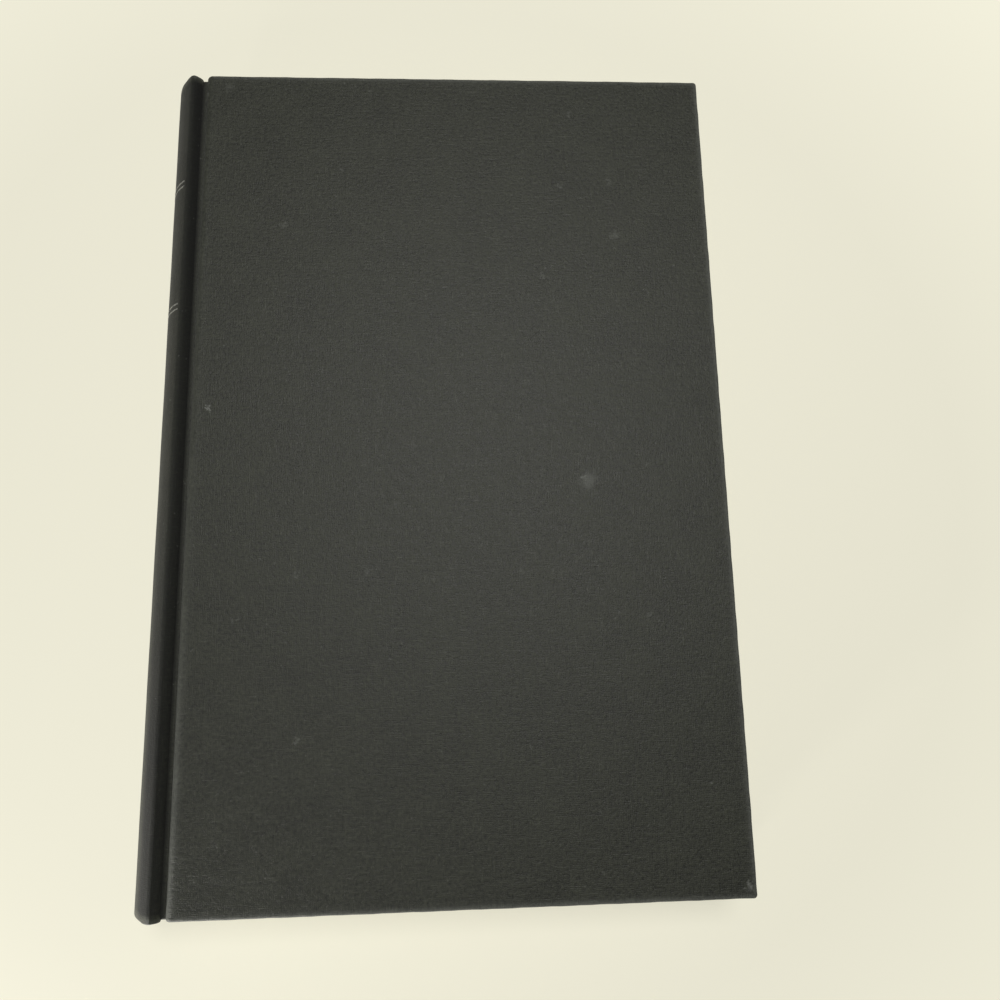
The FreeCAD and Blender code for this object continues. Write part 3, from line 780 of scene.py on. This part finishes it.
def on_round(angle, radius, y):
    """Points at an angle from the spine's middle, at a radius from the round's axis, at y."""
    angle, radius, y = np.broadcast_arrays(angle, radius, y)
    return np.stack([arc_x - radius * np.cos(angle), y, radius * np.sin(angle)], -1)


def band_grid(angles, radii, ys):
    """A closed band: a section with corners (radius, y) carried round, its ends drawn to a
    point."""
    angle = np.concatenate([angles[:1], angles, angles[-1:]])[:, None]
    radius = np.tile(np.append(radii, radii[0]), (len(angle), 1))
    y = np.tile(np.append(ys, ys[0]), (len(angle), 1))
    radius[[0, -1]] = np.mean(radii)
    y[[0, -1]] = np.mean(ys)
    return on_round(angle, radius, y), np.stack([angle * spine_radius + 0 * y, y], -1)


foil = Finish("Worn silver foil", Specular_IOR_Level=0.5)
across, along = foil.unrolled()
flat = foil.vector(across, along)
worn = ((foil.noise(flat, 1.6, 3.0, 0.7) - 0.47) * 8).clamped()
foil.set("Base Color", foil.mix(worn * 0.85, screen(176, 177, 173), CLOTH_COLOUR))
foil.set("Metallic", 0.75 - worn * 0.75)
foil.set("Roughness", 0.38 + worn * 0.5)
foil.bump(foil.noise(flat, 3.0, 2.0), 0.03, 0.6)

rule_angles = np.linspace(-rule_angle, rule_angle, 61)
low, high = spine_radius - 0.02, spine_radius + rule_thickness
rule_grids = []
for distance in rules_from_head:
    at = half_cover - distance
    rule_grids.append(band_grid(rule_angles, np.array([low, high, high, low]),
                                at + rule_width * np.array([-0.5, -0.45, 0.45, 0.5])))
rules = make_piece("silver_rules", rule_grids)
dress(rules, foil)
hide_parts("foil_rules")
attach(rules, "text_block")

# %% [markdown]
# # The leaves
# About 240 leaves are folded in sections, sewn, glued and trimmed on three sides. Then the back
# is hammered round, and the fore edge follows it into a hollow. Every leaf as a sheet of its own
# would be far too heavy. One closed block carries them instead: each point is a place along the
# page, a place through the thickness and a place from tail to head, and fine steps between
# groups of leaves are cut into the edges that show.

# %% Block of leaves
GROUPS = 110
seeded = np.random.default_rng(7)
group_step = seeded.uniform(-0.05, 0.05, GROUPS + 1)
group_lean = seeded.uniform(-1, 1, GROUPS + 1)
through = np.linspace(-1, 1, 2 * GROUPS + 1)
notch_depth = 0.045
page_length = 149.308
page_way = np.array([0, 0.3, 0.61, 1.2, 2.2, 3.6, 5.5, 8, 12, 18, 26, 36, 48, 60, 72, 84, 96,
                     108, 118, 127, 134, 140, 144, 147, 148.6, page_length]) / page_length
height_way = np.linspace(-1, 1, 41)


def leaf_points(q, t, v):
    """Place of a point of the block. q runs through the thickness from -1 to 1, t along the
    page from back to fore edge, v from tail to head. The back is an arc of the round, the fore
    edge the same arc moved, and the height eases from the fanned back to even leaves."""
    q, t, v = np.broadcast_arrays(q, t, v)
    angle = q * tip_angle
    back_x = arc_x - back_radius * np.cos(angle)
    flat_h = half_block * q
    hollow = np.sqrt(back_radius ** 2 - flat_h ** 2) - np.sqrt(back_radius ** 2 - half_block ** 2)
    fore_x = leaf_fore - hollow
    x = back_x + t * (fore_x - back_x)
    easing = np.clip(1 - (x - back_x) / (0.6 + 11 * (1 - q ** 6)), 0, 1)
    easing = easing ** 2 * (3 - 2 * easing)
    h = flat_h + easing * (back_radius * np.sin(angle) - flat_h)
    index = np.rint((q + 1) * GROUPS).astype(int)
    rough = group_step[index // 2] + 0.03 * np.sin(2.2 * v + 6 * group_lean[index // 2])
    inner = abs(q) < 0.999
    notch = notch_depth * (index % 2 == 0) * inner
    at_fore, at_back = t > 0.9999, t < 0.0001
    x = x - at_fore * inner * (rough * 0.8 + 0.05 + notch)
    edge = (abs(v) > 0.9999) * inner * ~at_fore * ~at_back
    y = half_leaf * v - np.sign(v) * edge * (0.4 * abs(rough) + notch)
    return np.stack([x, y, h], -1)


def leaf_flat(q, t, v):
    """Unrolled place: along the page or up the edge, and through the leaves."""
    q, t, v = np.broadcast_arrays(q, t, v)
    return np.stack([half_leaf * v + 150 * t, half_block * q], -1)


q, t, v = through[:, None], page_way[None, :], height_way[None, :]
block_grids = [(leaf_points(q, t, end), leaf_flat(q, t, 0.0)) for end in (-1.0, 1.0)]
block_grids += [(leaf_points(q, end, v), leaf_flat(q, 0.0, v)) for end in (0.0, 1.0)]
face_t, face_v = page_way[:, None], height_way[None, :]
block_grids += [(leaf_points(end, face_t, face_v), leaf_flat(end, face_t, face_v))
                for end in (-1.0, 1.0)]
leaves = make_piece("sewn_leaves", block_grids, smooth=30)

# %% [markdown]
# The edge of a trimmed block shows each leaf as a hair line. Lines of two widths run along the
# leaves, a few are darker where sections meet, and the paper has browned a little at the rim.

# %% Finish of the leaves
edges = Finish("Trimmed leaf edges", Specular_IOR_Level=0.25)
along, leaf = edges.unrolled()
hair = edges.noise(edges.vector(along * 0.05, leaf * 9.0), 1.0, 2.0, 0.6)
bundle = edges.noise(edges.vector(along * 0.01, leaf * 1.4, 4.0), 1.0, 2.0)
section = edges.size(edges.wave(leaf * (np.pi / 1.6)))
between = (1 - section * 9).clamped()
stain = edges.noise(edges.vector(along * 0.05, leaf * 0.05, 9.0), 1.0, 3.0)
tone = 0.56 + hair * 0.32 + bundle * 0.16 - between * 0.06
paper_colour = edges.mix((stain - 0.3).clamped(), (0.80, 0.755, 0.64, 1), (0.74, 0.67, 0.53, 1))
edges.set("Base Color", edges.dim(paper_colour, tone))
edges.set("Roughness", 0.82 + hair * 0.15)
edges.bump(hair * 0.7 + bundle * 0.3 - between * 0.4, 0.08, 0.7)
dress(leaves, edges)
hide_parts("text_block")
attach(leaves, "text_block")

# %% [markdown]
# # Headbands
# A headband is a cord wound with silk or cotton, sewn or glued over each end of the back. It
# hides the glue and stops the spine from tearing. The bead is a tube along the round whose
# radius swells at each turn of thread, with dark and pale threads in turn, and its tape is a
# band on the back.

# %% Headband shape
bead_radius = 0.8
winding_pitch = 0.78
bead_middle = back_radius - bead_radius / 2
band_angle = tip_angle - 2.0 / back_radius
tape_start = box_mm("head_band")[0][1]


def headband_grids(side):
    """The bead, a wound tube whose ends close, and the tape, a thin band."""
    ends = band_angle * bead_middle
    way = np.linspace(-ends, ends, 281)[:, None]
    around = np.linspace(0, 2 * np.pi, 15)[None, :]
    winding = 0.9 + 0.1 * abs(np.sin(np.pi * way / winding_pitch + 0.25 * np.cos(around)))
    close = np.sqrt(np.clip(1 - ((abs(way) - ends + 0.6) / 0.6).clip(0) ** 2, 0, 1))
    size = bead_radius * winding * close
    y = half_leaf + bead_radius * 0.98 + size * np.cos(around)
    bead = on_round(way / bead_middle, bead_middle + size * np.sin(around), y * side)
    flat = np.stack([way + 0 * around, around * bead_radius + 0 * way], -1)
    angles = np.linspace(-band_angle, band_angle, 40)
    tape = band_grid(angles, np.array([back_radius, back_radius + 0.25] * 2)[[0, 1, 3, 2]],
                     side * np.array([tape_start, tape_start, half_leaf + 0.6, half_leaf + 0.6]))
    return [(bead, flat), tape]


band = Finish("Sewn headband", Sheen_Weight=0.2, Sheen_Roughness=0.4, Specular_IOR_Level=0.35)
way, around = band.unrolled()
turns = band.wave(way * (np.pi / (2 * winding_pitch)))
dark = (turns * 6 + 0.5).clamped()
fibre = band.noise(band.vector(way * 2.0, around * 9.0), 1.0, 2.0)
gap = (1 - band.size(band.wave(way * (np.pi / winding_pitch))) * 3).clamped()
thread_colour = band.mix(dark, (0.70, 0.66, 0.56, 1), screen(52, 53, 50))
band.set("Base Color", band.dim(thread_colour, 0.8 + fibre * 0.35 - gap * 0.3))
band.set("Roughness", 0.62 + fibre * 0.25)
band.bump(fibre, 0.06, 0.6)
for name, node, side in (("head_bead", "head_band", 1), ("tail_bead", "tail_band", -1)):
    bead = make_piece(name, headband_grids(side))
    dress(bead, band)
    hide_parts(node)
    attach(bead, "text_block")

# %% [markdown]
# # Pastedowns
# The outer leaf of each endpaper is pasted to the inside of the board. It sinks a little between
# the turn-ins and over the mull, so their edges show through it as soft steps. It is one sheet
# whose height eases from level to level, and it reaches into the joint.

# %% Pastedown shape
window_x = board_width - turn_in
window_y = half_board - turn_in
mull_edge = 25.0
lowest = paste_low[2] - middle
sunk = board_inside - paper
over_mull = sunk - 0.25
bend_from, bend_to = -2.35, -0.1


def fine_near(stops, low, high, spacing, near=0.12):
    """Values from low to high at an even spacing, with a few more close to each stop."""
    extra = [stop + near * k for stop in stops for k in range(-6, 7)]
    even = np.arange(low, high, spacing)
    even = even[[min(abs(np.array(extra) - v)) > spacing * 0.3 for v in even]]
    both = np.concatenate([even, extra, [low, high]])
    return np.unique(both[(both >= low) & (both <= high)].round(4))


paste_x = np.concatenate([np.linspace(bend_from, bend_to, 26),
                          fine_near([0.8, mull_edge, window_x], 0.02, leaf_fore, 3.0)[1:]])
paste_y = fine_near([-window_y, window_y], -half_leaf, half_leaf, 3.5)
x, y = np.meshgrid(paste_x, paste_y, indexing="ij")
inside = ease(x, 0.8, 1.2) * (1 - ease(x, window_x, 1.2)) * (1 - ease(abs(y), window_y, 1.2))
past_mull = ease(x, mull_edge, 1.2)
level = lowest + inside * ((over_mull - lowest) + past_mull * (sunk - over_mull))
cockle = 0.02 * np.sin(x * 0.13 + 0.6 * np.sin(y * 0.06)) * np.sin(y * 0.1) * inside
paste_points = np.stack([x, y, level + cockle], -1)
paste_flat = np.stack([x, y], -1)
print("pastedown grid:", len(paste_x), "by", len(paste_y))

# %% [markdown]
# Endpaper is a heavier, slightly toned paper. Its fibres give it a faint cloudy look and a soft
# tooth, and it browns along the edges where air reaches it.

# %% Endpaper finish and pastedowns
endpaper = Finish("Endpaper", Specular_IOR_Level=0.25)
place = endpaper.object_place()
cloudy = endpaper.noise(place, 45.0, 4.0, 0.6)
fibres = endpaper.noise(place, 1400.0, 3.0, 0.7)
toned = endpaper.mix((cloudy * 1.4 - 0.4).clamped(), (0.84, 0.79, 0.66, 1), (0.80, 0.73, 0.58, 1))
endpaper.set("Base Color", endpaper.dim(toned, 0.92 + fibres * 0.14))
endpaper.set("Roughness", 0.8 + fibres * 0.16)
endpaper.bump(fibres, 0.05, 0.5)

for name, node, body, side in (("front_lining_leaf", "front_pastedown", "front_cover", 1),
                               ("back_lining_leaf", "back_pastedown", "back_cover", -1)):
    leaf = make_piece(name, [(paste_points, paste_flat)], facing=(0, 0, -side), side=side)
    thicken(leaf, paper)
    dress(leaf, endpaper)
    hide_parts(node)
    at = (middle + side * lowest) * MM
    (board_x + bend_from) * MM
    (board_x + bend_to) * MM
    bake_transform(leaf)

# %% [markdown]
# # Parts that stay as the CAD has them
# The flyleaves, boards, card, lining paper and mull are flat or evenly curved, so their CAD
# shapes are right. Each still needs its own finish: paper, grey millboard with flecks, smooth
# bending card, brown lining paper, and the open weave of mull.

# %% Finishes of the inner parts
def flecked_finish(name, first, second, fleck, scale, roughness):
    """Board or paper: two tones in soft clouds, with flecks of a third."""
    finish = Finish(name, Specular_IOR_Level=0.25)
    place = finish.object_place()
    cloud = finish.noise(place, scale, 4.0, 0.6)
    grain = finish.noise(place, scale * 22, 3.0, 0.7)
    spots = ((finish.noise(place, scale * 9, 1.0) - 0.66) * 7).clamped()
    colour = finish.mix((cloud * 2 - 0.5).clamped(), first, second)
    colour = finish.mix(spots * 0.7, finish.dim(colour, 0.86 + grain * 0.26), fleck)
    finish.set("Base Color", colour)
    finish.set("Roughness", roughness + grain * 0.14)
    finish.bump(grain, 0.06, 0.7)
    return finish


grey_board = flecked_finish("Grey board", (0.30, 0.28, 0.25, 1), (0.25, 0.235, 0.21, 1),
                            (0.42, 0.36, 0.27, 1), 60.0, 0.82)
bending_card = flecked_finish("Bending card", (0.36, 0.33, 0.28, 1), (0.33, 0.30, 0.25, 1),
                              (0.27, 0.24, 0.20, 1), 90.0, 0.74)
lining_paper = flecked_finish("Brown lining paper", (0.50, 0.38, 0.25, 1),
                              (0.45, 0.33, 0.21, 1), (0.36, 0.25, 0.15, 1), 70.0, 0.78)

MULL_PITCH = 1.1
mull = Finish("Open-weave mull", Specular_IOR_Level=0.25)
place = mull.object_place()
x, y, z = mull.parts(place)
warp = mull.wave(y * (np.pi * 1000 / MULL_PITCH))
weft = mull.wave((x + z) * (np.pi * 1000 / MULL_PITCH))
threads = mull.larger(mull.size(warp), mull.size(weft)) ** 3
fuzz = mull.noise(place, 1500.0, 2.0, 0.7)
mull.set("Base Color", mull.mix(threads, (0.42, 0.36, 0.26, 1), (0.78, 0.75, 0.66, 1)))
mull.set("Roughness", 0.84 + fuzz * 0.14)
mull.bump(threads + fuzz * 0.3, 0.12, 0.8)

inner_parts = {
    "front_flyleaf": endpaper, "back_flyleaf": endpaper,
    "front_board": grey_board, "back_board": grey_board,
    "spine_card": bending_card, "spine_lining": lining_paper,
    "spine_mull": mull, "front_mull_flange": mull, "back_mull_flange": mull,
}
for node, finish in inner_parts.items():
    part = nodes[node]
    if not part.material_slots:
        part.data.materials.append(finish.material)
    for material_slot in part.material_slots:
        material_slot.material = finish.material
print("CAD parts with a finish:", len(inner_parts))

# %% [markdown]
# # Surface, light and camera
# The book lies on a plain pale surface. More lamps would make it as pale as the photograph shows
# it, but they would bleach the book. So the camera sees the floor partly by its own colour: fully
# so beyond the book's shadow and close to the low lamp, and the background wholly. Light Path
# tells the camera's rays from the others.

# %% Surface
BACKDROP = (0.95, 0.925, 0.76, 1)
BLACK = (0, 0, 0, 1)
window_place = (-0.23, -0.33, 0.045)
own_share = 0.62
shadow_reach, shadow_fade = 0.17, 0.15
glare_reach, glare_fade = 0.24, 0.12
floor_half, floor_points = 1.5, 13
surface = Finish("Pale surface", Specular_IOR_Level=0.0, Emission_Strength=1.0)
place = surface.object_place()
soft = surface.noise(place, 6.0, 3.0)
to_book = surface.distance(place, (0.0, 0.0, 0.0))
to_lamp = surface.distance(place, (window_place[0], window_place[1], 0.0))
past_shadow = ((to_book - shadow_reach) / shadow_fade).clamped()
glare = ((glare_reach - to_lamp) / glare_fade).clamped()
plain = surface.larger(own_share + (1 - own_share) * past_shadow, glare)
plain = plain * surface.node("ShaderNodeLightPath", {}, {}, "Is Camera Ray")
pale = surface.mix(soft, (0.93, 0.91, 0.76, 1), (0.91, 0.88, 0.73, 1))
surface.set("Base Color", surface.mix(plain, pale, BLACK))
surface.set("Emission Color", surface.mix(plain, BLACK, BACKDROP))
surface.set("Roughness", 0.7 + soft * 0.2)
way = np.linspace(-floor_half, floor_half, floor_points)
x, y = np.meshgrid(way, way, indexing="ij")
mesh = bpy.data.meshes.new("floor")
mesh.from_pydata(np.stack([x, y, 0 * x], -1).reshape(-1, 3).tolist(), [],
                 grid_faces(floor_points, floor_points, 0).tolist())
floor = bpy.data.objects.new("floor", mesh)
bpy.context.scene.collection.objects.link(floor)
mesh.materials.append(surface.material)
print("floor:", 2 * floor_half, "m square")

# %% [markdown]
# Two soft lamps light the book: a low one to the left of its tail, as a window would, which
# draws the joint and the weave, and a larger one over its head for an even level on the cover.
# The room itself only fills the shadows a little.

# %% Light
scene = bpy.context.scene
scene.view_settings.view_transform = "Standard"
world = bpy.data.worlds.new("Room")
scene.world = world
world.use_nodes = True
tree = world.node_tree
fill = tree.nodes["Background"]
fill.inputs["Color"].default_value = (0.97, 0.985, 1.0, 1)
fill.inputs["Strength"].default_value = 0.07
seen = tree.nodes.new("ShaderNodeBackground")
seen.inputs["Color"].default_value = BACKDROP
seen.inputs["Strength"].default_value = 1.0
choose = tree.nodes.new("ShaderNodeMixShader")
ray = tree.nodes.new("ShaderNodeLightPath")
tree.links.new(ray.outputs["Is Camera Ray"], choose.inputs[0])
tree.links.new(fill.outputs[0], choose.inputs[1])
tree.links.new(seen.outputs[0], choose.inputs[2])
tree.links.new(choose.outputs[0], tree.nodes["World Output"].inputs["Surface"])


def add_lamp(name, place, target, size, power, colour):
    """A square soft lamp at a place, turned to face a target."""
    light = bpy.data.lights.new(name, "AREA")
    light.shape = "SQUARE"
    light.size = size
    light.energy = power
    light.color = colour
    lamp = bpy.data.objects.new(name, light)
    lamp.location = place
    lamp.rotation_euler = (Vector(target) - Vector(place)).to_track_quat("-Z", "Y").to_euler()
    scene.collection.objects.link(lamp)


add_lamp("window", window_place, (-0.07, -0.06, 0.02), 0.06, 1.15, (1.0, 0.985, 0.95))
add_lamp("ceiling", (0.03, 0.13, 0.62), (0.01, 0.04, 0.03), 0.16, 2.3, (1.0, 0.99, 0.97))
print("lamps:", [light.name for light in bpy.data.lights])

# %% [markdown]
# The camera stands where the photograph was taken: over the book, a little towards the tail,
# looking down. Its place, turn and lens were worked out from the edges of the front cover.

# %% Camera
view = bpy.data.cameras.new("photo view")
view.sensor_fit = "HORIZONTAL"
view.sensor_width = 36.0
view.lens = 27.04
camera = bpy.data.objects.new("photo view", view)
camera.location = (0.00636, -0.0491, 0.23499)
camera.rotation_euler = np.radians((10.05, -2.685, -1.297))
view.clip_start = 0.01
scene.collection.objects.link(camera)
scene.camera = camera
print("camera lens:", round(view.lens, 2), "mm")
